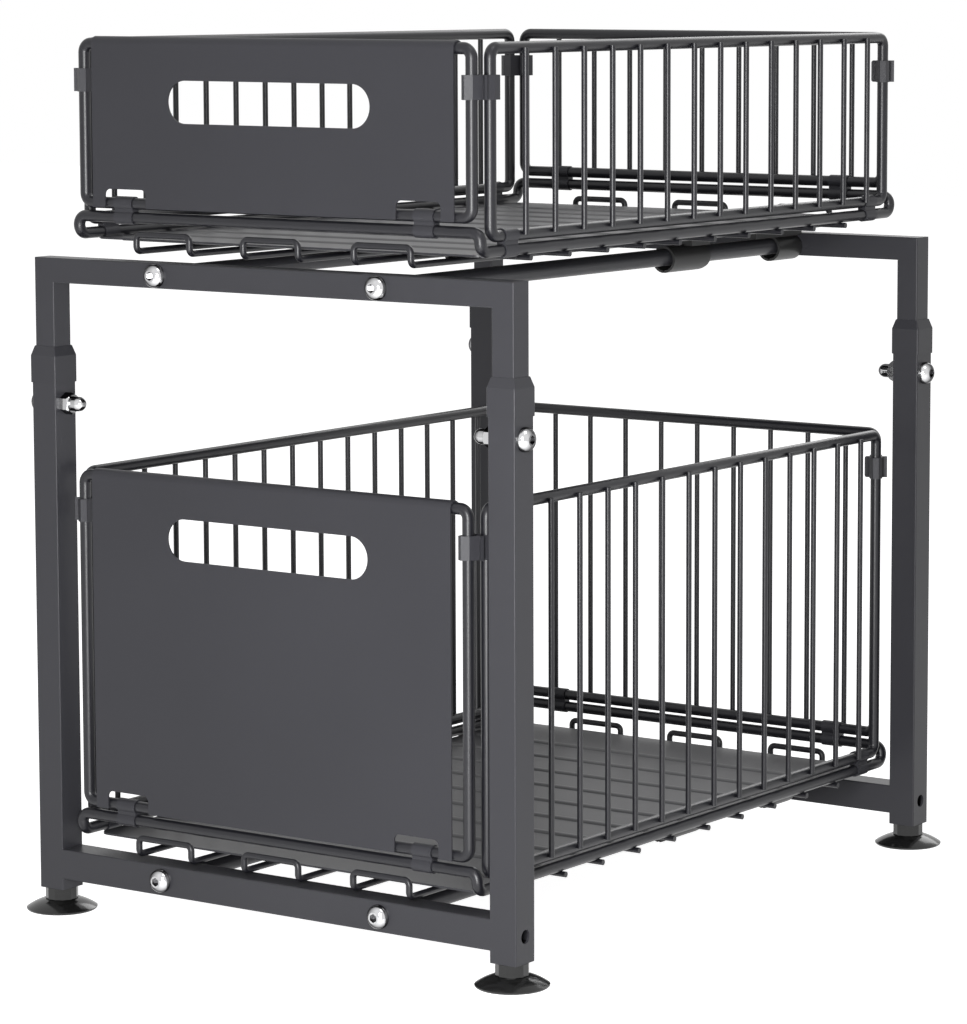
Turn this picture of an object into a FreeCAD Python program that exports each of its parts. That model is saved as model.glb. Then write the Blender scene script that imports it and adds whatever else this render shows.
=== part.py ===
import FreeCAD, Part
import math
import os
import re

import Sketcher

# A two-tier expandable rack: square steel tube end frames that telescope,
# round runner rods, and two wire baskets that slide out on them.
# Millimetres, +X right, +Y back, +Z up. Origin: centre of the footprint, on the floor.

DRIVING_SIZES = [
    # frames
    ("frameWidth", 310),
    ("frameDepth", 406),
    ("legTube", 16),
    ("legWall", 1.2),
    ("legRound", 0.7),
    ("riserTube", 13),
    ("riserWall", 1.0),
    ("riserRound", 0.7),
    ("innerRound", 0.3),
    ("legBottom", 12),
    ("legTop", 296),
    ("lowRail", 26),
    ("topRail", 340.7),
    ("riserBottom", 137),
    ("weldDepth", 1.15),
    ("drainRadius", 3.5),
    ("drainHeight", 25.6),
    # collars round the leg tops
    ("collarWidth", 17.2),
    ("collarRound", 0.9),
    ("collarBottom", 281.5),
    ("collarShoulder", 295.7),
    ("collarTop", 300.8),
    ("collarTaper", 19.4),
    ("collarMouth", 13.16),
    # runner rods
    ("rodSpacing", 142),
    ("rodRadius", 4.7),
    ("rodWall", 1.1),
    ("rodPlug", 14),
    # locking holes and bolts
    ("lockHeight", 270.7),
    ("holeStep", 20),
    ("holeRadius", 3.2),
    ("boltHead", 6.2),
    ("boltFace", 3.0),
    ("boltRise", 4.8),
    ("boltRim", 0.9),
    ("socketWidth", 4),
    ("socketDepth", 2.6),
    ("lockShank", 2.95),
    ("railShank", 2.45),
    ("railHole", 2.75),
    ("threadGap", 0.05),
    ("nutWidth", 10),
    ("nutThick", 5.5),
    ("nutLong", 13),
    ("nutDome", 3.9),
    ("nutBore", 9),
    # levelling feet
    ("padRadius", 18.75),
    ("padRim", 1.2),
    ("padTop", 5.6),
    ("padFlat", 9.4),
    ("seatRadius", 5.1),
    ("seatHeight", 2.5),
    ("gripWidth", 16.6),
    ("gripBottom", 5.8),
    ("studRadius", 3.95),
    ("studTop", 33),
    ("footPlug", 10),
    # baskets: heights are counted from the centre of the base ring's side wires
    ("upperBase", 360),
    ("lowerBase", 45.2),
    ("upperMiddle", 3),
    ("lowerMiddle", -1.2),
    ("upperWallTop", 98.4),
    ("lowerWallTop", 189.5),
    ("heavyWire", 3),
    ("thinWire", 1.5),
    ("baseHalf", 128.5),
    ("baseEnd", 196.9),
    ("endLift", 9.4),
    ("hingeLift", 7.2),
    ("endRingHalf", 123.6),
    ("sideRingHalf", 188.5),
    ("ringRound", 4.7),
    ("thinOffset", 4.1),
    ("wirePitch", 25.3),
    # basket floors
    ("crossReach", 131.7),
    ("crossPitch", 33.6),
    ("crossShift", -7.5),
    ("loopWire", 1.7),
    ("loopHalf", 17.6),
    ("loopPitch", 70.4),
    ("loopEnd", 199),
    ("loopLift", 8.6),
    ("loopBend", 2.9),
    ("linerHalf", 124),
    ("linerEnd", 189.7),
    ("linerThick", 1),
    ("linerRound", 6),
    ("ridgeWide", 8),
    ("ridgeTall", 0.9),
    ("ridgeEnd", 3),
    # runner guides
    ("guideOuter", 7.3),
    ("guideInner", 6.0),
    ("guideDrop", 1.2),
    ("guideRound", 5),
    ("guideSlit", 1),
    ("guideBlock", 14),
    ("wireSaddle", 1.55),
    # front panel
    ("sheet", 0.8),
    ("wireGap", 0.05),
    ("panelHalf", 115.5),
    ("slotLength", 129),
    ("slotHeight", 21.8),
    ("slotDrop", 29.1),
    ("panelDrop", 2.2),
    ("notchInner", 80.1),
    ("notchOuter", 107.4),
    ("notchHeight", 9.55),
    ("notchRound", 3),
    # sheet clips
    ("clipThick", 0.6),
    ("clipGap", 0.05),
    ("clipWeb", 4.8),
    ("endClipX", 96.2),
    ("endClipWide", 12),
    ("clipNotchWide", 3.8),
    ("clipNotchIn", 2.4),
    ("sideClipY", 173.05),
    ("sideClipShift", -1.25),
    ("sideClipWide", 11),
    ("cornerClipTall", 12),
    ("cornerClipDrop", 18.8),
    ("cornerShoulder", 1),
    ("cornerTip", 4.7),
    ("cornerCrest", 1.6),
    ("cornerFin", 6.4),
]

LEG_HOLES = 7
CROSS_WIRES = 10
END_THIN_WIRES = 9
SIDE_THIN_WIRES = 14
LOOPS = 3

doc = FreeCAD.newDocument("CabinetShelf")
size = doc.addObject("Spreadsheet::Sheet", "size")
for row, (alias, number) in enumerate(DRIVING_SIZES, start=1):
    size.set("A%d" % row, alias)
    size.set("B%d" % row, str(number))
    size.setAlias("B%d" % row, alias)
doc.recompute()

ALIASES = re.compile(r"\b(%s)\b" % "|".join(name for name, number in DRIVING_SIZES))
nodes = []


def bound(expression):
    """Turn a formula in plain aliases into one that other objects can hold."""
    return ALIASES.sub(r"size.\1", str(expression))


def value(expression):
    return float(size.evalExpression(str(expression)))


def bind(item, prop, expression):
    item.setExpression(prop, bound(expression))


def vector(x, y, z=0):
    return FreeCAD.Vector(value(x), value(y), value(z))


def place(item, x=0, y=0, z=0):
    for axis, expression in zip("xyz", (x, y, z)):
        bind(item, "Placement.Base." + axis, expression)


def keep(item):
    nodes.append(item)
    return item


# Sketches


def body_named(label):
    body = doc.addObject("PartDesign::Body", label)
    body.Label = label
    return body


def origin_plane(body, role):
    return next(item for item in body.Origin.OriginFeatures if item.Role == role)


def sketch_on(body, role, x=0, y=0, out=0, turn=0):
    """A sketch on one of the body's origin planes, its own origin moved by x, y and out."""
    sketch = body.newObject("Sketcher::SketchObject", body.Name + "_sketch")
    sketch.AttachmentSupport = [(origin_plane(body, role), "")]
    sketch.MapMode = "FlatFace"
    rotation = FreeCAD.Rotation(FreeCAD.Vector(0, 0, 1), turn)
    sketch.AttachmentOffset = FreeCAD.Placement(vector(x, y, out), rotation)
    for axis, expression in zip("xyz", (x, y, out)):
        bind(sketch, "AttachmentOffset.Base." + axis, expression)
    return sketch


def constrain(sketch, kind, references, expression):
    number = sketch.addConstraint(Sketcher.Constraint(kind, *references, value(expression)))
    bind(sketch, "Constraints[%d]" % number, expression)


def pin_point(sketch, shape, point, x, y):
    constrain(sketch, "DistanceX", (-1, 1, shape, point), x)
    constrain(sketch, "DistanceY", (-1, 1, shape, point), y)


def draw_circle(sketch, radius, x=0, y=0):
    circle = sketch.addGeometry(Part.Circle(vector(x, y), FreeCAD.Vector(0, 0, 1), value(radius)))
    constrain(sketch, "Radius", (circle,), radius)
    pin_point(sketch, circle, 3, x, y)


def arc_through(start, middle, end):
    """An arc through three points, held as sketches hold it: turning to the left."""
    circle = Part.Circle(start, middle, end)
    if (middle - start).cross(end - middle).z < 0:
        start, end = end, start
    first, last = [math.atan2(point.y - circle.Center.y, point.x - circle.Center.x)
                   for point in (start, end)]
    if last < first:
        last += 2 * math.pi
    ring = Part.Circle(circle.Center, FreeCAD.Vector(0, 0, 1), circle.Radius)
    return Part.ArcOfCircle(ring, first, last)


def draw_outline(sketch, points, closed=True):
    """Straight runs through points; a point given as (x, y, mid x, mid y) ends an arc."""
    corners = list(points)
    if closed:
        corners.append(points[0])
    for start, end in zip(corners, corners[1:]):
        a = vector(*start[:2])
        b = vector(*end[:2])
        run = arc_through(a, vector(*end[2:]), b) if len(end) == 4 else Part.LineSegment(a, b)
        number = sketch.addGeometry(run)
        turned = run.StartPoint.distanceToPoint(a) > run.EndPoint.distanceToPoint(a)
        pin_point(sketch, number, 2 if turned else 1, *start[:2])
        pin_point(sketch, number, 1 if turned else 2, *end[:2])


def draw_rounded(sketch, width, height, radius, x=0, y=0):
    """A rectangle with round corners, centred on x, y."""
    half_w = "(%s) / 2" % width
    half_h = "(%s) / 2" % height
    wide, tall, r = value(half_w), value(half_h), value(radius)
    middle = vector(x, y)
    spots = [(-1, -1), (1, -1), (1, 1), (-1, 1)]
    shapes = []
    for index, (sx, sy) in enumerate(spots):
        nx, ny = spots[(index + 1) % 4]
        along = FreeCAD.Vector(nx - sx, ny - sy, 0) / 2
        start = middle + FreeCAD.Vector(sx * wide, sy * tall, 0) + along * r
        end = middle + FreeCAD.Vector(nx * wide, ny * tall, 0) - along * r
        shapes.append(sketch.addGeometry(Part.LineSegment(start, end)))
        centre = middle + FreeCAD.Vector(nx * (wide - r), ny * (tall - r), 0)
        first = math.radians(-90 + 90 * index)
        ring = Part.Circle(centre, FreeCAD.Vector(0, 0, 1), r)
        shapes.append(sketch.addGeometry(Part.ArcOfCircle(ring, first, first + math.pi / 2)))
    for index, shape in enumerate(shapes):
        following = shapes[(index + 1) % 8]
        sketch.addConstraint(Sketcher.Constraint("Tangent", shape, 2, following, 1))
    for index in (0, 4):
        sketch.addConstraint(Sketcher.Constraint("Horizontal", shapes[index]))
        sketch.addConstraint(Sketcher.Constraint("Vertical", shapes[index + 2]))
    for index in (3, 5, 7):
        sketch.addConstraint(Sketcher.Constraint("Equal", shapes[1], shapes[index]))
    constrain(sketch, "Radius", (shapes[1],), radius)
    constrain(sketch, "DistanceX", (-1, 1, shapes[2], 1), "(%s) + %s" % (x, half_w))
    constrain(sketch, "DistanceX", (-1, 1, shapes[6], 1), "(%s) - %s" % (x, half_w))
    constrain(sketch, "DistanceY", (-1, 1, shapes[4], 1), "(%s) + %s" % (y, half_h))
    constrain(sketch, "DistanceY", (-1, 1, shapes[0], 1), "(%s) - %s" % (y, half_h))


def draw_polygon(sketch, sides, across, turn=0):
    """A regular polygon round the sketch's origin, across its flats."""
    corner = value(across) / 2 / math.cos(math.pi / sides)
    points = []
    for index in range(sides):
        angle = math.radians(turn) + 2 * math.pi * (index + 0.5) / sides
        points.append((corner * math.cos(angle), corner * math.sin(angle)))
    draw_outline(sketch, points)


# Features


def pad(sketch, length, both_ways=False, backwards=False, taper=0):
    body = sketch.getParentGeoFeatureGroup()
    feature = body.newObject("PartDesign::Pad", body.Name + "_pad")
    feature.Profile = sketch
    bind(feature, "Length", length)
    feature.Midplane = both_ways
    feature.Reversed = backwards
    if taper:
        bind(feature, "TaperAngle", taper)
    doc.recompute()
    return feature


def pocket(sketch, length=None, backwards=False):
    """Cut away from the sketch's normal by length, or right through both ways."""
    body = sketch.getParentGeoFeatureGroup()
    before = body.Shape.Volume
    feature = body.newObject("PartDesign::Pocket", body.Name + "_pocket")
    feature.Profile = sketch
    if length is None:
        feature.Type = "ThroughAll"
        feature.Midplane = True
    else:
        bind(feature, "Length", length)
        feature.Reversed = backwards
    doc.recompute()
    if body.Shape.Volume >= before:
        raise RuntimeError(body.Label + ": a pocket cut nothing")
    return feature


def revolve(sketch, axis, cutting=False):
    body = sketch.getParentGeoFeatureGroup()
    kind = "Groove" if cutting else "Revolution"
    feature = body.newObject("PartDesign::" + kind, body.Name + "_turned")
    feature.Profile = sketch
    feature.ReferenceAxis = (sketch, [axis])
    feature.Angle = 360
    doc.recompute()
    return feature


def pipe(path, profile):
    body = path.getParentGeoFeatureGroup()
    feature = body.newObject("PartDesign::AdditivePipe", body.Name + "_pipe")
    feature.Profile = profile
    feature.Spine = path
    feature.Transition = "Right corner"
    doc.recompute()
    return feature


def row_of(feature, sketch, axis, count, pitch):
    """Repeat a feature count times along one of its sketch's axes."""
    body = sketch.getParentGeoFeatureGroup()
    pattern = body.newObject("PartDesign::LinearPattern", body.Name + "_row")
    pattern.Originals = [feature]
    pattern.Direction = (sketch, [axis])
    bind(pattern, "Length", "%d * (%s)" % (count - 1, pitch))
    pattern.Occurrences = count
    body.Tip = pattern
    doc.recompute()
    return pattern


def mirror(body, features, roles=("YZ_Plane", "XZ_Plane")):
    """Repeat features in each quarter, or on each side where one plane is given."""
    whole = body.newObject("PartDesign::MultiTransform", body.Name + "_copies")
    whole.Originals = features
    steps = []
    for role in roles:
        step = body.newObject("PartDesign::Mirrored", body.Name + "_mirror")
        step.MirrorPlane = (origin_plane(body, role), [""])
        steps.append(step)
    whole.Transformations = steps
    body.Tip = whole
    doc.recompute()
    return whole


# Frames

LEG_X = "(frameWidth - legTube) / 2"
LEG_Y = "(frameDepth - legTube) / 2"


def draw_tube(sketch, width, wall, radius, x=0, y=0):
    draw_rounded(sketch, width, width, radius, x, y)
    draw_rounded(sketch, "%s - 2 * %s" % (width, wall), "%s - 2 * %s" % (width, wall),
                 "innerRound", x, y)


def rail_holes(body, height):
    sketch = sketch_on(body, "XZ_Plane")
    for side in (-1, 1):
        draw_circle(sketch, "railHole", "%d * rodSpacing / 2" % side, height)
    pocket(sketch)


def lower_end_frame(label, side):
    body = body_named(label)
    reach = "frameWidth / 2 - legTube + weldDepth"
    rail = sketch_on(body, "YZ_Plane", y="lowRail", out="-(%s)" % reach)
    draw_tube(rail, "legTube", "legWall", "legRound")
    pad(rail, "2 * (%s)" % reach)
    legs = sketch_on(body, "XY_Plane", out="legBottom")
    draw_tube(legs, "legTube", "legWall", "legRound", x="-" + LEG_X)
    draw_tube(legs, "legTube", "legWall", "legRound", x=LEG_X)
    pad(legs, "legTop - legBottom")
    locks = sketch_on(body, "YZ_Plane")
    draw_circle(locks, "holeRadius", 0, "lockHeight")
    pocket(locks)
    rail_holes(body, "lowRail")
    for way in (-1, 1):
        drain = sketch_on(body, "YZ_Plane", out="%d * frameWidth / 2" % way)
        draw_circle(drain, "drainRadius", 0, "drainHeight")
        pocket(drain, "2 * legWall", backwards=way < 0)
    place(body, y="%d * %s" % (side, LEG_Y))
    return keep(body)


def upper_end_frame(label, side):
    body = body_named(label)
    path = sketch_on(body, "XZ_Plane")
    left = "-" + LEG_X
    draw_outline(path, [(left, "riserBottom"), (left, "topRail"), (LEG_X, "topRail"),
                        (LEG_X, "riserBottom")], closed=False)
    profile = sketch_on(body, "XY_Plane", x=left, out="riserBottom")
    draw_tube(profile, "riserTube", "riserWall", "riserRound")
    pipe(path, profile)
    locks = sketch_on(body, "YZ_Plane")
    for step in range(LEG_HOLES):
        draw_circle(locks, "holeRadius", 0, "lockHeight - %d * holeStep" % step)
    pocket(locks)
    rail_holes(body, "topRail")
    place(body, y="%d * %s" % (side, LEG_Y))
    return keep(body)


def collar(label, side_x, side_y):
    body = body_named(label)
    skirt = sketch_on(body, "XY_Plane", out="collarBottom")
    draw_rounded(skirt, "collarWidth", "collarWidth", "collarRound")
    pad(skirt, "collarShoulder - collarBottom")
    crown = sketch_on(body, "XY_Plane", out="collarShoulder")
    draw_rounded(crown, "collarWidth", "collarWidth", "collarRound")
    pad(crown, "collarTop - collarShoulder", taper="-collarTaper")
    seat = sketch_on(body, "XY_Plane", out="collarBottom")
    draw_rounded(seat, "legTube", "legTube", "legRound")
    pocket(seat, "legTop - collarBottom", backwards=True)
    mouth = sketch_on(body, "XY_Plane", out="collarBottom")
    draw_rounded(mouth, "collarMouth", "collarMouth", "riserRound")
    pocket(mouth)
    place(body, "%d * %s" % (side_x, LEG_X), "%d * %s" % (side_y, LEG_Y))
    return keep(body)


def rod(label, side, height, tube):
    body = body_named(label)
    sketch = sketch_on(body, "XZ_Plane")
    draw_circle(sketch, "rodRadius")
    draw_circle(sketch, "rodRadius - rodWall")
    pad(sketch, "frameDepth - legTube - " + tube, both_ways=True)
    place(body, "%d * rodSpacing / 2" % side, 0, height)
    return keep(body)


def rod_inserts(label, height, tube):
    body = body_named(label)
    end = "(frameDepth - legTube - %s) / 2" % tube
    sketch = sketch_on(body, "XZ_Plane", x="rodSpacing / 2", y=height, out="-(%s)" % end)
    draw_circle(sketch, "rodRadius - rodWall")
    draw_circle(sketch, "railShank + threadGap")
    mirror(body, [pad(sketch, "rodPlug")])
    return keep(body)


# Fasteners


def bolt_profile(shank, length):
    """Half section of a domed socket bolt: distance from the axis, distance along it."""
    return [(0, "boltRise"), ("boltFace", "boltRise"),
            ("boltHead", "boltRim", "0.85 * boltHead", "0.69 * boltRise"),
            ("boltHead", 0), (shank, 0), (shank, "-(%s)" % length), (0, "-(%s)" % length)]


def rail_bolts(label, height, tube):
    """Four bolts through a pair of rails into the rod ends, heads outside."""
    body = body_named(label)
    face = "(frameDepth - legTube + %s) / 2" % tube
    length = "%s + rodPlug - 2" % tube
    section = sketch_on(body, "XY_Plane", x="rodSpacing / 2", y=face, out=height)
    draw_outline(section, bolt_profile("railShank", length))
    turned = revolve(section, "V_Axis")
    top = "-(%s) - boltRise" % face
    socket = sketch_on(body, "XZ_Plane", x="rodSpacing / 2", y=height, out=top)
    draw_polygon(socket, 6, "socketWidth")
    mirror(body, [turned, pocket(socket, "socketDepth", backwards=True)])
    return keep(body)


def lock_bolts(label):
    """Four bolts across the legs, heads outside."""
    body = body_named(label)
    section = sketch_on(body, "XY_Plane", x="frameWidth / 2", y=LEG_Y, out="lockHeight")
    outline = bolt_profile("lockShank", "legTube + nutBore - 1")
    draw_outline(section, [tuple(point[::-1]) if len(point) == 2 else
                           (point[1], point[0], point[3], point[2]) for point in outline])
    turned = revolve(section, "H_Axis")
    socket = sketch_on(body, "YZ_Plane", x=LEG_Y, y="lockHeight", out="frameWidth / 2 + boltRise")
    draw_polygon(socket, 6, "socketWidth")
    mirror(body, [turned, pocket(socket, "socketDepth")])
    return keep(body)


def cap_nuts(label):
    """Four domed nuts on the legs' inner faces."""
    body = body_named(label)
    face = "frameWidth / 2 - legTube"
    hexagon = sketch_on(body, "YZ_Plane", x=LEG_Y, y="lockHeight", out=face)
    draw_polygon(hexagon, 6, "nutWidth")
    features = [pad(hexagon, "nutThick", backwards=True)]
    dome = sketch_on(body, "XY_Plane", x=face, y=LEG_Y, out="lockHeight")
    start = "-nutThick"
    waist = "nutDome - nutLong"
    draw_outline(dome, [(start, 0), (start, "nutDome"), (waist, "nutDome"),
                        ("-nutLong", "nutDome * 0.3", "nutDome * 0.34 - nutLong", "nutDome * 0.78"),
                        ("-nutLong", 0)])
    features.append(revolve(dome, "H_Axis"))
    bevel = sketch_on(body, "XY_Plane", x=face, y=LEG_Y, out="lockHeight")
    draw_outline(bevel, [(start, "nutWidth * 0.47"), (start, "nutWidth * 0.6"),
                         ("1.2 - nutThick", "nutWidth * 0.6")])
    features.append(revolve(bevel, "H_Axis", cutting=True))
    bore = sketch_on(body, "YZ_Plane", x=LEG_Y, y="lockHeight", out=face)
    draw_circle(bore, "lockShank + threadGap")
    features.append(pocket(bore, "nutBore"))
    mirror(body, features)
    return keep(body)


# Levelling feet


def foot_inserts(label):
    body = body_named(label)
    sketch = sketch_on(body, "XY_Plane", out="legBottom")
    inner = "legTube - 2 * legWall"
    draw_rounded(sketch, inner, inner, "innerRound", LEG_X, LEG_Y)
    draw_circle(sketch, "studRadius + threadGap", LEG_X, LEG_Y)
    mirror(body, [pad(sketch, "footPlug")])
    return keep(body)


def foot_stem(label, side_x, side_y):
    """Twelve-sided grip with its threaded stud above and its bearing boss below."""
    body = body_named(label)
    grip = sketch_on(body, "XY_Plane", out="gripBottom")
    draw_polygon(grip, 12, "gripWidth")
    pad(grip, "legBottom - gripBottom")
    stud = sketch_on(body, "XY_Plane", out="legBottom")
    draw_circle(stud, "studRadius")
    pad(stud, "studTop - legBottom")
    boss = sketch_on(body, "XY_Plane", out="gripBottom")
    draw_circle(boss, "seatRadius - threadGap")
    pad(boss, "gripBottom - seatHeight", backwards=True)
    place(body, "%d * %s" % (side_x, LEG_X), "%d * %s" % (side_y, LEG_Y))
    return keep(body)


def foot_pad(label, side_x, side_y):
    body = body_named(label)
    section = sketch_on(body, "XZ_Plane")
    draw_outline(section, [(0, 0), ("padRadius - 0.6", 0), ("padRadius", 0.6),
                           ("padRadius", "padRim"),
                           ("padFlat", "padTop", "padRadius * 0.8", "padTop * 0.61"),
                           ("seatRadius", "padTop"), ("seatRadius", "seatHeight"),
                           (0, "seatHeight")])
    revolve(section, "V_Axis")
    place(body, "%d * %s" % (side_x, LEG_X), "%d * %s" % (side_y, LEG_Y))
    return keep(body)


# Basket wires


def cradle_path(half_width, end, lift, turn, shift):
    """Closed path of a wire whose long runs lie low and whose ends stand lift higher."""
    half_w, long, up, bend, middle = [value(item) for item in (half_width, end, lift, turn, shift)]
    inside = bend * (1 - math.sqrt(0.5))
    upright = up - 2 * bend > 0.01
    corners = []
    for sx, sy in ((1, -1), (1, 1), (-1, 1), (-1, -1)):
        x = middle + sx * half_w
        y = sy * long
        high = FreeCAD.Vector(x - sx * bend, y, up)
        knee = FreeCAD.Vector(x - sx * inside, y, up - inside)
        shoulder = FreeCAD.Vector(x, y, up - bend)
        ankle = FreeCAD.Vector(x, y, bend) if upright else shoulder
        heel = FreeCAD.Vector(x, y - sy * inside, inside)
        low = FreeCAD.Vector(x, y - sy * bend, 0)
        runs = [(high, knee, shoulder), (shoulder, ankle), (ankle, heel, low)]
        if not upright:
            del runs[1]
        if sx != -sy:
            runs = [run[::-1] for run in reversed(runs)]
        corners.append(runs)
    edges = []
    for index, runs in enumerate(corners):
        following = corners[(index + 1) % 4][0][0]
        for run in runs + [(runs[-1][-1], following)]:
            shape = Part.Arc(*run) if len(run) == 3 else Part.LineSegment(*run)
            edges.append(shape.toShape())
    return Part.Wire(edges), edges[-1].valueAt(edges[-1].FirstParameter)


def cradle_wire(label, half_width, end, lift, turn, radius, middle_y, height, shift=0):
    """A bent wire loop swept round its path."""
    path = doc.addObject("Part::Feature", label + "_path")
    shape, start = cradle_path(half_width, end, lift, turn, shift)
    path.Shape = shape
    place(path, 0, middle_y, height)
    ring = doc.addObject("Part::Circle", label + "_section")
    bind(ring, "Radius", radius)
    ring.Placement = FreeCAD.Placement(start, FreeCAD.Rotation(FreeCAD.Vector(0, 1, 0), 90))
    place(ring, start.x, "%s + %s" % (repr(start.y), middle_y), "%s + %s" % (repr(start.z), height))
    doc.recompute()
    sweep = doc.addObject("Part::Sweep", label)
    sweep.Label = label
    sweep.Sections = [ring]
    sweep.Spine = (path, ["Edge%d" % (number + 1) for number in range(len(shape.Edges))])
    sweep.Solid = True
    doc.recompute()
    return sweep


def wall_ring(body, role, half, offset, top):
    """The heavy wire of one wall, in the plane of the given role."""
    at_end = role == "XZ_Plane"
    low = "endLift + hingeLift" if at_end else "hingeLift"
    path = sketch_on(body, role, out="%d * (%s)" % (-1 if at_end else 1, offset))
    draw_rounded(path, "2 * (%s)" % half, "%s - (%s)" % (top, low), "ringRound",
                 0, "(%s + %s) / 2" % (top, low))
    profile = sketch_on(body, "YZ_Plane" if at_end else "XZ_Plane")
    draw_circle(profile, "heavyWire", offset, low)
    pipe(path, profile)
    return low


def thin_wires(body, role, offset, low, top, count):
    """Thin upright wires welded on a wall's outer face."""
    first = "%s * wirePitch" % repr(-(count - 1) / 2)
    if role == "XZ_Plane":
        sketch = sketch_on(body, "XY_Plane", out=low)
        draw_circle(sketch, "thinWire", first, offset)
        axis = "H_Axis"
    else:
        sketch = sketch_on(body, "XY_Plane", out=low)
        draw_circle(sketch, "thinWire", offset, first)
        axis = "V_Axis"
    row_of(pad(sketch, "%s - (%s)" % (top, low)), sketch, axis, count, "wirePitch")


def end_wall(label, side, top, with_thin_wires, middle_y, height):
    body = body_named(label)
    low = wall_ring(body, "XZ_Plane", "endRingHalf", "%d * baseEnd" % side, top)
    if with_thin_wires:
        offset = "%d * (baseEnd + thinOffset)" % side
        thin_wires(body, "XZ_Plane", offset, low, top, END_THIN_WIRES)
    place(body, 0, middle_y, height)
    return keep(body)


def side_wall(label, side, top, middle_y, height):
    body = body_named(label)
    low = wall_ring(body, "YZ_Plane", "sideRingHalf", "%d * baseHalf" % side, top)
    offset = "%d * (baseHalf + thinOffset)" % side
    thin_wires(body, "YZ_Plane", offset, low, top, SIDE_THIN_WIRES)
    place(body, 0, middle_y, height)
    return keep(body)


# Basket floor


def cross_wires(label, middle_y, height):
    body = body_named(label)
    first = "crossShift - %s * crossPitch" % repr((CROSS_WIRES - 1) / 2)
    sketch = sketch_on(body, "YZ_Plane")
    draw_circle(sketch, "thinWire", first, "-heavyWire - thinWire")
    row_of(pad(sketch, "2 * crossReach", both_ways=True), sketch, "H_Axis", CROSS_WIRES, "crossPitch")
    place(body, 0, middle_y, height)
    return keep(body)


def floor_loops(label, middle_y, height):
    level = "%s - heavyWire - 2 * thinWire - loopWire" % height
    loops = []
    for number in range(LOOPS):
        shift = "%d * loopPitch" % (number - LOOPS // 2)
        name = "%s_%d" % (label, number + 1)
        loops.append(cradle_wire(name, "loopHalf", "loopEnd", "loopLift", "loopBend", "loopWire",
                                 middle_y, level, shift))
    group = doc.addObject("Part::Compound", label)
    group.Label = label
    group.Links = loops
    doc.recompute()
    return keep(group)


def liner(label, middle_y, height):
    """A flat sheet with a low ridge over each cross wire."""
    body = body_named(label)
    sketch = sketch_on(body, "XY_Plane", out="-heavyWire")
    draw_rounded(sketch, "2 * linerHalf", "2 * linerEnd", "linerRound")
    pad(sketch, "linerThick")
    first = "crossShift - %s * crossPitch" % repr((CROSS_WIRES - 1) / 2)
    face = "linerThick - heavyWire"
    ridge = sketch_on(body, "YZ_Plane", x=first, y=face, out="ridgeEnd - linerHalf")
    draw_outline(ridge, [("-ridgeWide / 2", 0, 0, "ridgeTall"), ("ridgeWide / 2", 0)])
    row_of(pad(ridge, "2 * (linerHalf - ridgeEnd)"), ridge, "H_Axis", CROSS_WIRES, "crossPitch")
    place(body, 0, middle_y, height)
    return keep(body)


# Front to back places of the runner guides: sleeve from and to, block from and to.
GUIDE_PLACES = [(52.3, 88, 70, 88), (160.8, 185, 136, 185)]


def runner_guides(label, middle_y, height, rod_height):
    """Split sleeves on the rods, each with a block that holds on to a cross wire."""
    body = body_named(label)
    rod_level = "%s - %s - guideDrop" % (rod_height, height)
    floor = "-heavyWire - 2 * thinWire"
    features = []
    for sleeve_from, sleeve_to, block_from, block_to in GUIDE_PLACES:
        block = sketch_on(body, "XZ_Plane", x="rodSpacing / 2", out=-block_to)
        half = "guideBlock / 2"
        top = "-heavyWire - threadGap"
        bottom = "%s + guideInner + 0.6" % rod_level
        draw_outline(block, [("-(%s)" % half, bottom), (half, bottom), (half, top),
                             ("-(%s)" % half, top)])
        features.append(pad(block, block_to - block_from))
        sleeve = sketch_on(body, "XZ_Plane", x="rodSpacing / 2", y=rod_level, out=-sleeve_to)
        draw_circle(sleeve, "guideOuter")
        draw_circle(sleeve, "guideInner")
        features.append(pad(sleeve, sleeve_to - sleeve_from))
        slit = sketch_on(body, "XZ_Plane", x="rodSpacing / 2", y=rod_level, out=-sleeve_to)
        draw_outline(slit, [("-guideSlit / 2", "-guideOuter - 1"), ("guideSlit / 2", "-guideOuter - 1"),
                            ("guideSlit / 2", "-guideInner / 2"), ("-guideSlit / 2", "-guideInner / 2")])
        features.append(pocket(slit, sleeve_to - sleeve_from, backwards=True))
        features.append(rounded_heel(body, sleeve_to, "%s - guideOuter" % rod_level))
        held = wire_under(block_from, block_to)
        groove = sketch_on(body, "YZ_Plane", x=held, y=floor, out="rodSpacing / 2 + guideBlock / 2")
        draw_outline(groove, [("-wireSaddle", "thinWire", 0, "thinWire - wireSaddle"),
                              ("-wireSaddle", "thinWire * 3"), ("wireSaddle", "thinWire * 3"),
                              ("wireSaddle", "thinWire")])
        features.append(pocket(groove, "guideBlock"))
    mirror(body, features, ["YZ_Plane"])
    place(body, 0, middle_y, height)
    return keep(body)


def rounded_heel(body, back, underside):
    """Rounds off a sleeve's lower back corner, as seen from the side."""
    sketch = sketch_on(body, "YZ_Plane", x=back, y=underside, out="rodSpacing / 2 + guideOuter + 1")
    bend = "0.2929 * guideRound"
    draw_outline(sketch, [("-guideRound", 0, "-(%s)" % bend, bend), (1, 0), (1, "guideRound"),
                          (0, "guideRound")])
    return pocket(sketch, "2 * guideOuter + 2")


def wire_under(start, end):
    """The place of the cross wire that a guide's block holds."""
    for number in range(CROSS_WIRES):
        spot = "crossShift + %s * crossPitch" % repr(number - (CROSS_WIRES - 1) / 2)
        if start < value(spot) - value("thinWire") and value(spot) + value("thinWire") < end:
            return spot
    raise RuntimeError("no cross wire for a runner guide")


# Front panel and clips


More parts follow.
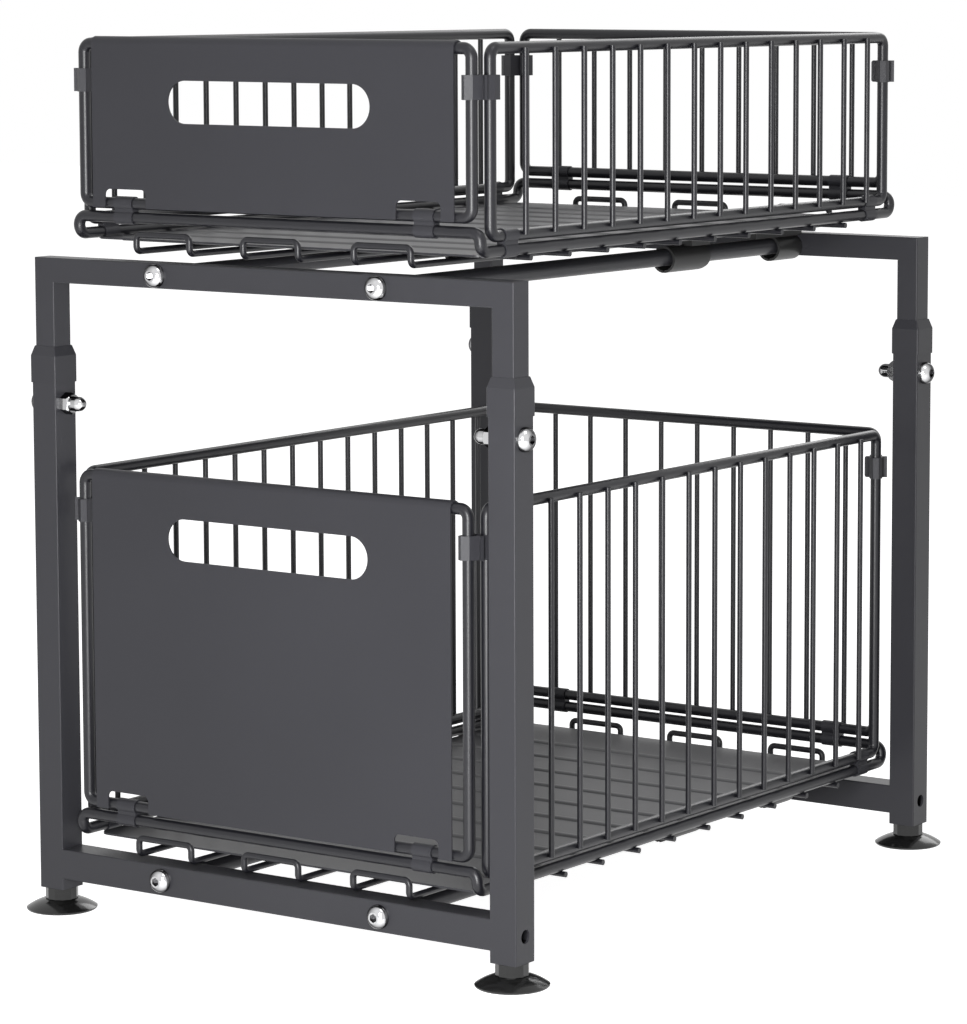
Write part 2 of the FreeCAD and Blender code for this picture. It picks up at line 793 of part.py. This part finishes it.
def clip_notch(side, bottom):
    """Round-cornered notch in the panel's lower edge, from left to right, on one side."""
    roof = "%s + notchHeight" % bottom
    bend = "0.2929 * notchRound"
    left, right = ("notchInner", "notchOuter") if side > 0 else ("-notchOuter", "-notchInner")
    return [(left, bottom), (left, "%s - notchRound" % roof),
            (left + " + notchRound", roof, "%s + %s" % (left, bend), "%s - %s" % (roof, bend)),
            (right + " - notchRound", roof),
            (right, "%s - notchRound" % roof, "%s - %s" % (right, bend), "%s - %s" % (roof, bend)),
            (right, bottom)]


def front_panel(label, top, middle_y, height):
    """Sheet with a handle slot, two notches for the hinge clips and a curled top edge."""
    body = body_named(label)
    back_face = "baseEnd + heavyWire + wireGap"
    crest = "%s + heavyWire + wireGap + sheet" % top
    bottom = "endLift + hingeLift - panelDrop"
    plate = sketch_on(body, "XZ_Plane", out=back_face)
    draw_outline(plate, [("-panelHalf", bottom)] + clip_notch(-1, bottom) + clip_notch(1, bottom)
                 + [("panelHalf", bottom), ("panelHalf", top), ("-panelHalf", top)])
    pad(plate, "sheet")
    curl = sketch_on(body, "YZ_Plane", x="-baseEnd", y=top, out="-panelHalf")
    inner = "heavyWire + wireGap"
    outer = "heavyWire + wireGap + sheet"
    draw_outline(curl, [("-(%s)" % outer, 0), ("0.94 * (%s)" % outer, "-0.342 * (%s)" % outer, 0, outer),
                        ("0.94 * (%s)" % inner, "-0.342 * (%s)" % inner),
                        ("-(%s)" % inner, 0, 0, inner)])
    pad(curl, "2 * panelHalf")
    slot = sketch_on(body, "XZ_Plane", y="%s - slotDrop" % top, out="%s + sheet" % back_face)
    half = "(slotLength - slotHeight) / 2"
    rise = "slotHeight / 2"
    draw_outline(slot, [("-(%s)" % half, "-" + rise, "-slotLength / 2", 0), (half, "-" + rise),
                        (half, rise, "slotLength / 2", 0), ("-(%s)" % half, rise)])
    pocket(slot, "2 * sheet")
    place(body, 0, middle_y, height)
    return keep(body)


def wire_notches(label, low):
    """Notches in the back clips' upper barrels, where the outermost thin wires pass."""
    body = doc.getObject(label)
    wire_x = "%d * wirePitch" % (END_THIN_WIRES // 2)
    reach = "heavyWire + clipThick + 1"
    notch = sketch_on(body, "XZ_Plane", x=wire_x, y="%s + hingeLift" % low, out="-baseEnd - (%s)" % reach)
    draw_outline(notch, [("-clipNotchWide / 2", "-thinWire / 4"), ("clipNotchWide / 2", "-thinWire / 4"),
                         ("clipNotchWide / 2", reach), ("-clipNotchWide / 2", reach)])
    return pocket(notch, "%s - clipNotchIn" % reach, backwards=True)


def hinge_clips(label, role, along, wide, centre_out, low, middle_y, height, planes, notched=False):
    """Sheet clips, each rolled round a base wire and the wall wire above it, drawn in between."""
    body = body_named(label)
    inner = "heavyWire + clipGap"
    outer = "heavyWire + clipGap + clipThick"
    features = []
    sign = -1 if role == "XZ_Plane" else 1
    start = "%d * (%s + %s / 2)" % (sign, along, wide)
    for barrel in (low, "%s + hingeLift" % low):
        sketch = sketch_on(body, role, x=centre_out, y=barrel, out=start)
        draw_circle(sketch, outer)
        features.append(pad(sketch, wide, backwards=role == "YZ_Plane"))
    web = sketch_on(body, role, x=centre_out, y="%s + hingeLift / 2" % low, out=start)
    draw_outline(web, [("-clipWeb / 2", "-hingeLift / 2"), ("clipWeb / 2", "-hingeLift / 2"),
                       ("clipWeb / 2", "hingeLift / 2"), ("-clipWeb / 2", "hingeLift / 2")])
    features.append(pad(web, wide, backwards=role == "YZ_Plane"))
    for barrel in (low, "%s + hingeLift" % low):
        sketch = sketch_on(body, role, x=centre_out, y=barrel, out=start)
        draw_circle(sketch, inner)
        features.append(pocket(sketch, wide, backwards=role == "XZ_Plane"))
    if notched:
        features.append(wire_notches(label, low))
    mirror(body, features, planes)
    place(body, 0, middle_y, height)
    return keep(body)


def clamp_outline(spread):
    """Corner clip section: a straight outer side with a fin, sloped shoulders and end faces."""
    thick = value("clipThick")
    side = value("heavyWire + clipGap + clipThick")
    shoulder = spread + value("cornerShoulder")
    tip = spread + value("cornerTip")
    crest = value("cornerCrest")
    fin = value("cornerFin")
    slope = math.atan2(side - crest, tip - shoulder)
    inner_shoulder = shoulder - thick * math.tan(slope / 2)
    inner_crest = crest - thick * math.tan(math.pi / 4 - slope / 2)
    right = [(thick, fin), (thick, side), (shoulder, side), (tip, crest), (tip, -crest),
             (tip - thick, -crest), (tip - thick, inner_crest), (inner_shoulder, side - thick)]
    return right + [(-x, y) for x, y in reversed(right)]


def corner_clips(label, top, middle_y, height):
    """Four sheet clips that hold the side rings to the end rings, open to the inside."""
    body = body_named(label)
    across = value("baseHalf - endRingHalf")
    along = value("baseEnd - sideRingHalf")
    turn = math.degrees(math.atan2(-along, across))
    sketch = sketch_on(body, "XY_Plane", x="(baseHalf + endRingHalf) / 2",
                       y="(baseEnd + sideRingHalf) / 2",
                       out="%s - cornerClipDrop - cornerClipTall / 2" % top, turn=turn)
    draw_outline(sketch, clamp_outline(math.hypot(across, along) / 2))
    mirror(body, [pad(sketch, "cornerClipTall")])
    place(body, 0, middle_y, height)
    return keep(body)


def basket(tier, rod_height):
    middle_y = tier + "Middle"
    height = tier + "Base"
    top = tier + "WallTop"
    prefix = tier + "_"
    keep(cradle_wire(prefix + "base_ring", "baseHalf", "baseEnd", "endLift", "endLift / 2",
                     "heavyWire", middle_y, height))
    cross_wires(prefix + "cross_wires", middle_y, height)
    floor_loops(prefix + "floor_loops", middle_y, height)
    liner(prefix + "liner", middle_y, height)
    runner_guides(prefix + "runner_guides", middle_y, height, rod_height)
    end_wall(prefix + "front_ring", -1, top, False, middle_y, height)
    end_wall(prefix + "back_wall", 1, top, True, middle_y, height)
    side_wall(prefix + "left_wall", -1, top, middle_y, height)
    side_wall(prefix + "right_wall", 1, top, middle_y, height)
    front_panel(prefix + "front_panel", top, middle_y, height)
    hinge_clips(prefix + "front_hinge_clips", "YZ_Plane", "endClipX", "endClipWide", "-baseEnd",
                "endLift", middle_y, height, ["YZ_Plane"])
    hinge_clips(prefix + "back_hinge_clips", "YZ_Plane", "endClipX", "endClipWide", "baseEnd",
                "endLift", middle_y, height, ["YZ_Plane"], notched=True)
    hinge_clips(prefix + "side_hinge_clips", "XZ_Plane", "sideClipY", "sideClipWide", "baseHalf",
                "0", middle_y + " + sideClipShift", height, ["YZ_Plane", "XZ_Plane"])
    corner_clips(prefix + "corner_clips", top, middle_y, height)


for name, side in (("front", -1), ("back", 1)):
    lower_end_frame("lower_%s_frame" % name, side)
    upper_end_frame("upper_%s_frame" % name, side)

for depth, side_y in (("front", -1), ("back", 1)):
    for hand, side_x in (("left", -1), ("right", 1)):
        collar("collar_%s_%s" % (depth, hand), side_x, side_y)
        foot_stem("foot_stem_%s_%s" % (depth, hand), side_x, side_y)
        foot_pad("foot_pad_%s_%s" % (depth, hand), side_x, side_y)

for tier, rod_level, rail_tube in (("lower", "lowRail", "legTube"), ("upper", "topRail", "riserTube")):
    rod(tier + "_rod_left", -1, rod_level, rail_tube)
    rod(tier + "_rod_right", 1, rod_level, rail_tube)
    rod_inserts(tier + "_rod_inserts", rod_level, rail_tube)
    rail_bolts(tier + "_rail_bolts", rod_level, rail_tube)
    basket(tier, rod_level)

lock_bolts("lock_bolts")
cap_nuts("cap_nuts")
foot_inserts("foot_inserts")

doc.recompute()

faults = []
for item in doc.Objects:
    if "Invalid" in item.State or "Error" in item.State:
        faults.append(item.Label)
for node in nodes:
    if node.Shape.isNull() or not node.Shape.isValid():
        faults.append(node.Label)
if faults:
    raise RuntimeError("not built: " + ", ".join(faults))

os.makedirs("parts", exist_ok=True)
for node in nodes:
    node.Shape.exportStep("parts/%s.step" % node.Label)
print(len(nodes), "pieces written")
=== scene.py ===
import math

import bmesh
import bpy
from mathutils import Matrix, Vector


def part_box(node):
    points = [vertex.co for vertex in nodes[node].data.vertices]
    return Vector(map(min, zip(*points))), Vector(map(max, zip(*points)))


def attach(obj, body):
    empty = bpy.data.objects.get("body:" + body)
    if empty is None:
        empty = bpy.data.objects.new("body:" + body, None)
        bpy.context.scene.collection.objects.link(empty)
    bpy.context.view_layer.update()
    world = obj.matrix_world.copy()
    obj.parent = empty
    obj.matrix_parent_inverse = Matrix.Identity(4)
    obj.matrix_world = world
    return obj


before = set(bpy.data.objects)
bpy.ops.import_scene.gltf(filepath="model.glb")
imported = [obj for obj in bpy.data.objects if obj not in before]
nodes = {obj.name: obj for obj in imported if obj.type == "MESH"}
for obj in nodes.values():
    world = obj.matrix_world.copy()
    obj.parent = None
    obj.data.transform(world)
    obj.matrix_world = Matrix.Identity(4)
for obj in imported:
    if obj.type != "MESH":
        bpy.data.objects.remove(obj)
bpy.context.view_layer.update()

print("frame loaded,", len(nodes), "nodes")


def addObject(name, data):
    item = bpy.data.objects.new(name, data)
    bpy.context.scene.collection.objects.link(item)
    return item


# camera, at the photograph's place

view = {
    "imageWidth": 967,          # the photograph's frame, in pixels
    "imageHeight": 1024,
    "focalPixels": 3982.87,
    "centrePixel": (606.1, 430.9),
    "turn": 34.096,             # degrees round from the front, towards the right
    "tilt": 6.558,              # degrees looking down
    "place": (1.2577, -1.7535, 0.4944),
    "sensorWidth": 36,          # millimetres
    "farthest": 50,             # metres
}


def setCamera():
    lens = bpy.data.cameras.new("viewCamera")
    across, down = view["centrePixel"]
    lens.sensor_fit = "HORIZONTAL"
    lens.sensor_width = view["sensorWidth"]
    lens.lens = view["sensorWidth"] * view["focalPixels"] / view["imageWidth"]
    lens.shift_x = (view["imageWidth"] / 2 - across) / view["imageWidth"]
    lens.shift_y = (down - view["imageHeight"] / 2) / view["imageWidth"]
    lens.clip_end = view["farthest"]
    camera = addObject("viewCamera", lens)
    camera.location = view["place"]
    camera.rotation_euler = (math.radians(90 - view["tilt"]), 0, math.radians(view["turn"]))
    bpy.context.scene.camera = camera


setCamera()
bpy.context.scene.view_settings.view_transform = "Standard"
print("camera set")


# materials

def newMaterial(name):
    material = bpy.data.materials.new(name)
    material.use_nodes = True
    tree = material.node_tree
    return material, tree, tree.nodes["Principled BSDF"]


def addNode(tree, kind, **settings):
    node = tree.nodes.new(kind)
    for key, value in settings.items():
        setattr(node, key, value)
    return node


def opaque(colour):
    # a colour of three parts, or one number for a grey
    if isinstance(colour, (int, float)):
        colour = (colour, colour, colour)
    return (*colour, 1)


def objectNoise(tree, scale, detail=2, roughness=0.5):
    # scale is in lumps per metre
    place = addNode(tree, "ShaderNodeTexCoord")
    noise = addNode(tree, "ShaderNodeTexNoise")
    noise.inputs["Scale"].default_value = scale
    noise.inputs["Detail"].default_value = detail
    noise.inputs["Roughness"].default_value = roughness
    tree.links.new(place.outputs["Object"], noise.inputs["Vector"])
    return noise.outputs["Fac"]


def ramp(tree, source, target, low, high, start=0.3, end=0.7):
    # low up to start and high from end on; most of a noise's values lie between 0.3 and 0.7
    blend = addNode(tree, "ShaderNodeValToRGB")
    first, last = blend.color_ramp.elements
    first.position = start
    last.position = end
    first.color = opaque(low)
    last.color = opaque(high)
    tree.links.new(source, blend.inputs["Fac"])
    tree.links.new(blend.outputs["Color"], target)


def grainBump(tree, shader, noise, grain):
    bump = addNode(tree, "ShaderNodeBump")
    bump.inputs["Strength"].default_value = grain["grainStrength"]
    bump.inputs["Distance"].default_value = grain["grainHeight"]
    tree.links.new(noise, bump.inputs["Height"])
    tree.links.new(bump.outputs["Normal"], shader.inputs["Normal"])


powder = {
    "grain": 1400,              # orange peel, lumps per metre
    "grainHeight": 0.00003,
    "grainStrength": 0.025,
    "cloud": 9,                 # slow unevenness of the coat, lumps per metre
    "cloudRange": 0.12,
}


def powderCoat(name, colour, roughness, specular):
    # a fine orange peel, and a gloss that varies a little
    material, tree, shader = newMaterial(name)
    low = [channel * (1 - powder["cloudRange"] / 2) for channel in colour]
    high = [channel * (1 + powder["cloudRange"] / 2) for channel in colour]
    ramp(tree, objectNoise(tree, powder["cloud"]), shader.inputs["Base Color"], low, high)
    peel = objectNoise(tree, powder["grain"])
    ramp(tree, peel, shader.inputs["Roughness"], *roughness)
    grainBump(tree, shader, peel, powder)
    shader.inputs["Specular IOR Level"].default_value = specular
    return material


steel = {
    "colour": (0.68, 0.68, 0.69),
    "paintedEdgeReflection": (0.03, 0.03, 0.033),  # painted dark reflection, where it is seen edge on
    "paintedEdgeReflectionBlend": 0.5,
    "paintedEdgeReflectionReach": (0.12, 0.5),    # where the colour starts to turn into the painted dark reflection, and where it is that
    "roughness": (0.06, 0.16),
    "scratches": 900,           # lumps per metre
    "scratchDetail": 4,
    "scratchRoughness": 0.7,
}


def brightSteel(name):
    material, tree, shader = newMaterial(name)
    shader.inputs["Metallic"].default_value = 1
    # painted dark reflection: the base colour turns from the steel's colour to near black where the steel
    # is seen edge on
    paintedEdgeReflectionWeight = addNode(tree, "ShaderNodeLayerWeight")
    paintedEdgeReflectionWeight.inputs["Blend"].default_value = steel["paintedEdgeReflectionBlend"]
    ramp(tree, paintedEdgeReflectionWeight.outputs["Facing"], shader.inputs["Base Color"],
         steel["colour"], steel["paintedEdgeReflection"], *steel["paintedEdgeReflectionReach"])
    streaks = objectNoise(tree, steel["scratches"], steel["scratchDetail"], steel["scratchRoughness"])
    ramp(tree, streaks, shader.inputs["Roughness"], *steel["roughness"])
    return material


plastic = {
    "grain": 2600,              # fine moulded grain, lumps per metre
    "grainHeight": 0.00002,
    "grainStrength": 0.08,
}


def mouldedPlastic(name, colours, roughness, specular):
    material, tree, shader = newMaterial(name)
    grain = objectNoise(tree, plastic["grain"])
    ramp(tree, grain, shader.inputs["Base Color"], *colours)
    ramp(tree, grain, shader.inputs["Roughness"], *roughness)
    grainBump(tree, shader, grain, plastic)
    shader.inputs["Specular IOR Level"].default_value = specular
    return material


frameCoat = powderCoat("frameCoat", (0.034, 0.034, 0.039), roughness=(0.34, 0.40), specular=0.25)
panelCoat = powderCoat("panelCoat", (0.028, 0.028, 0.033), roughness=(0.42, 0.50), specular=0.28)
wireCoat = powderCoat("wireCoat", (0.010, 0.010, 0.013), roughness=(0.34, 0.37), specular=0.42)
bright = brightSteel("brightSteel")
guidePlastic = mouldedPlastic("guidePlastic", (0.024, 0.030), roughness=(0.36, 0.44), specular=0.3)
footPlastic = mouldedPlastic("footPlastic", (0.008, 0.010), roughness=(0.12, 0.18), specular=0.40)
collarPlastic = mouldedPlastic("collarPlastic", ((0.033, 0.033, 0.038), (0.035, 0.035, 0.040)),
                               roughness=(0.34, 0.40), specular=0.25)
linerSheet = mouldedPlastic("linerSheet", ((0.027, 0.027, 0.031), (0.029, 0.029, 0.034)),
                            roughness=(0.38, 0.42), specular=0.35)
print("materials made")


def finishFor(name):
    if "bolt" in name or "nuts" in name:
        return bright
    if "foot" in name or "insert" in name:
        return footPlastic
    if "guide" in name:
        return guidePlastic
    if "liner" in name:
        return linerSheet
    if "panel" in name or "clips" in name:
        return panelCoat
    if "collar" in name:
        return collarPlastic
    if "frame" in name or "rod" in name:
        return frameCoat
    return wireCoat


for name, item in nodes.items():
    item.data.materials.clear()
    item.data.materials.append(finishFor(name))
print("nodes finished")


# inner halves of the corner clips: one bent sheet on each wire, so that the side walls can fold

clipBack = {
    "wire": 0.003,              # radius of the walls' heavy wires
    "decimals": 4,              # the frame's bends have facets, so its wires are read to 0.1 mm
    "tip": (0.0044, 0.0016),    # the sheet's bends: out from its wire, and in from the line of the wires
    "shoulder": (0.0009, 0.00335),
    "flange": 0.0064,           # how far the flange between the wires reaches inwards
    "corner": 0.0012,           # round on the flange's corners
    "cornerParts": 3,
    "cornerProfile": 0.5,
    "sheet": 0.0006,
}


def cornerClips(tier):
    # the basket's middle seen from above, the clips' height, and the two upright wires at a corner
    lowest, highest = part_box(tier + "_corner_clips")
    wallLow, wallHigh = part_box(tier + "_right_wall")
    ringLow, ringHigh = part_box(tier + "_front_ring")
    middle = Vector((0, (lowest.y + highest.y) / 2))
    sideWire = (wallLow.x + clipBack["wire"], wallHigh.y - clipBack["wire"] - middle.y)
    endWire = (ringHigh.x - clipBack["wire"], middle.y - ringLow.y - clipBack["wire"])
    return {
        "middle": middle,
        "low": lowest.z,
        "tall": highest.z - lowest.z,
        "side": [round(place, clipBack["decimals"]) for place in sideWire],
        "end": [round(place, clipBack["decimals"]) for place in endWire],
    }


def bendSheet(shape, wire, partner, clips):
    # past its own wire on the inside, and then inwards as a flange between the two wires
    out = (wire - partner).normalized()
    inward = out.orthogonal()
    if inward.dot(clips["middle"] - wire) < 0:
        inward.negate()
    between = (wire + partner) / 2 + out * clipBack["sheet"] / 2
    onWire = [wire + out * away + inward * depth for away, depth in (clipBack["tip"], clipBack["shoulder"])]
    onFlange = [between + inward * depth for depth in (clipBack["shoulder"][1], clipBack["flange"])]
    bends = onWire + onFlange
    tip = bmesh.ops.create_vert(shape, co=(*bends[0], clips["low"]))["vert"]
    edges = []
    for bend in bends[1:]:
        grown = bmesh.ops.extrude_vert_indiv(shape, verts=tip)
        tip = grown["verts"]
        tip[0].co = (*bend, clips["low"])
        edges += grown["edges"]
    raised = bmesh.ops.extrude_edge_only(shape, edges=edges)
    tops = [part for part in raised["geom"] if isinstance(part, bmesh.types.BMVert)]
    bmesh.ops.translate(shape, verts=tops, vec=(0, 0, clips["tall"]))
    flangeCorners = [vert for vert in tip + tops if (vert.co.xy - bends[-1]).length < clipBack["sheet"] / 2]
    bmesh.ops.bevel(shape, geom=flangeCorners, offset=clipBack["corner"], segments=clipBack["cornerParts"],
                    profile=clipBack["cornerProfile"], affect="VERTICES", material=-1)


def clipBackPiece(name, body, clips, wires, corners):
    shape = bmesh.new()
    for across, along in corners:
        wire, partner = [clips["middle"] + Vector((across * x, along * y)) for x, y in wires]
        bendSheet(shape, wire, partner, clips)
    bmesh.ops.recalc_face_normals(shape, faces=shape.faces)
    mesh = bpy.data.meshes.new(name)
    shape.to_mesh(mesh)
    shape.free()
    mesh.materials.append(panelCoat)
    piece = addObject(name, mesh)
    sheet = piece.modifiers.new("sheet", "SOLIDIFY")
    sheet.thickness = clipBack["sheet"]
    sheet.offset = 0
    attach(piece, body)


for tier in ("upper", "lower"):
    clips = cornerClips(tier)
    clipBackPiece(tier + "_end_clip_backs", tier + "_drawer", clips, (clips["end"], clips["side"]),
                  [(-1, -1), (-1, 1), (1, -1), (1, 1)])
    clipBackPiece(tier + "_left_clip_backs", tier + "_left_wall", clips, (clips["side"], clips["end"]),
                  [(-1, -1), (-1, 1)])
    clipBackPiece(tier + "_right_clip_backs", tier + "_right_wall", clips, (clips["side"], clips["end"]),
                  [(1, -1), (1, 1)])
print("clip backs made")


# floor, lamps and world

studio = {
    "white": (1, 1, 1, 1),
    "floorSize": 12,
    "floorColour": 0.8,
    "floorRoughness": 0.9,
    "floorGlow": 0.96,          # added where it is seen, so that the floor is white
    "worldLight": 0.20,         # the world's strength for the rays that carry light
    "worldSeen": 1,             # and where it is seen
    "aim": (0, 0, 0.22),        # the point that the lamps face
}

lamps = {                       # degrees round from the front and up, metres and watts
    "keyLamp": {"turn": 28, "tilt": 5, "distance": 1.1, "power": 13, "size": (0.26, 0.58)},
    "topLamp": {"turn": 70, "tilt": 62, "distance": 2.2, "power": 7, "size": (0.9, 0.9)},
    "backLamp": {"turn": 190, "tilt": 30, "distance": 2.2, "power": 9, "size": (1.0, 1.0)},
}


def softLamp(name, turn, tilt, distance, power, size):
    lamp = bpy.data.lights.new(name, "AREA")
    lamp.shape = "RECTANGLE"
    lamp.energy = power
    lamp.size, lamp.size_y = size
    turn = math.radians(turn)
    tilt = math.radians(tilt)
    out = Vector((math.sin(turn) * math.cos(tilt), -math.cos(turn) * math.cos(tilt), math.sin(tilt)))
    item = addObject(name, lamp)
    item.location = Vector(studio["aim"]) + out * distance
    item.rotation_euler = out.to_track_quat("Z", "Y").to_euler()


def whereSeen(tree):
    # 1 for camera, mirror and glass rays, and 0 for the rays that carry light
    path = addNode(tree, "ShaderNodeLightPath")
    mirror = addNode(tree, "ShaderNodeMath", operation="MAXIMUM")
    tree.links.new(path.outputs["Is Glossy Ray"], mirror.inputs[0])
    tree.links.new(path.outputs["Is Transmission Ray"], mirror.inputs[1])
    seen = addNode(tree, "ShaderNodeMath", operation="MAXIMUM")
    tree.links.new(path.outputs["Is Camera Ray"], seen.inputs[0])
    tree.links.new(mirror.outputs[0], seen.inputs[1])
    return seen.outputs[0]


def whiteFloor():
    material, tree, shader = newMaterial("whiteFloor")
    shader.inputs["Base Color"].default_value = opaque(studio["floorColour"])
    shader.inputs["Roughness"].default_value = studio["floorRoughness"]
    shader.inputs["Specular IOR Level"].default_value = 0
    shader.inputs["Emission Color"].default_value = studio["white"]
    glow = addNode(tree, "ShaderNodeMath", operation="MULTIPLY")
    tree.links.new(whereSeen(tree), glow.inputs[0])
    glow.inputs[1].default_value = studio["floorGlow"]
    tree.links.new(glow.outputs[0], shader.inputs["Emission Strength"])
    return material


def makeFloor():
    mesh = bpy.data.meshes.new("floor")
    shape = bmesh.new()
    bmesh.ops.create_grid(shape, x_segments=1, y_segments=1, size=studio["floorSize"] / 2)
    shape.to_mesh(mesh)
    shape.free()
    mesh.materials.append(whiteFloor())
    floor = addObject("floor", mesh)


def makeWorld():
    world = bpy.data.worlds.new("plainRoom")
    bpy.context.scene.world = world
    world.use_nodes = True
    tree = world.node_tree
    background = tree.nodes["Background"]
    background.inputs["Color"].default_value = studio["white"]
    strength = addNode(tree, "ShaderNodeMapRange")
    tree.links.new(whereSeen(tree), strength.inputs["Value"])
    strength.inputs["To Min"].default_value = studio["worldLight"]
    strength.inputs["To Max"].default_value = studio["worldSeen"]
    tree.links.new(strength.outputs["Result"], background.inputs["Strength"])


makeFloor()
makeWorld()
for lampName, setting in lamps.items():
    softLamp(lampName, **setting)
print("studio lit")
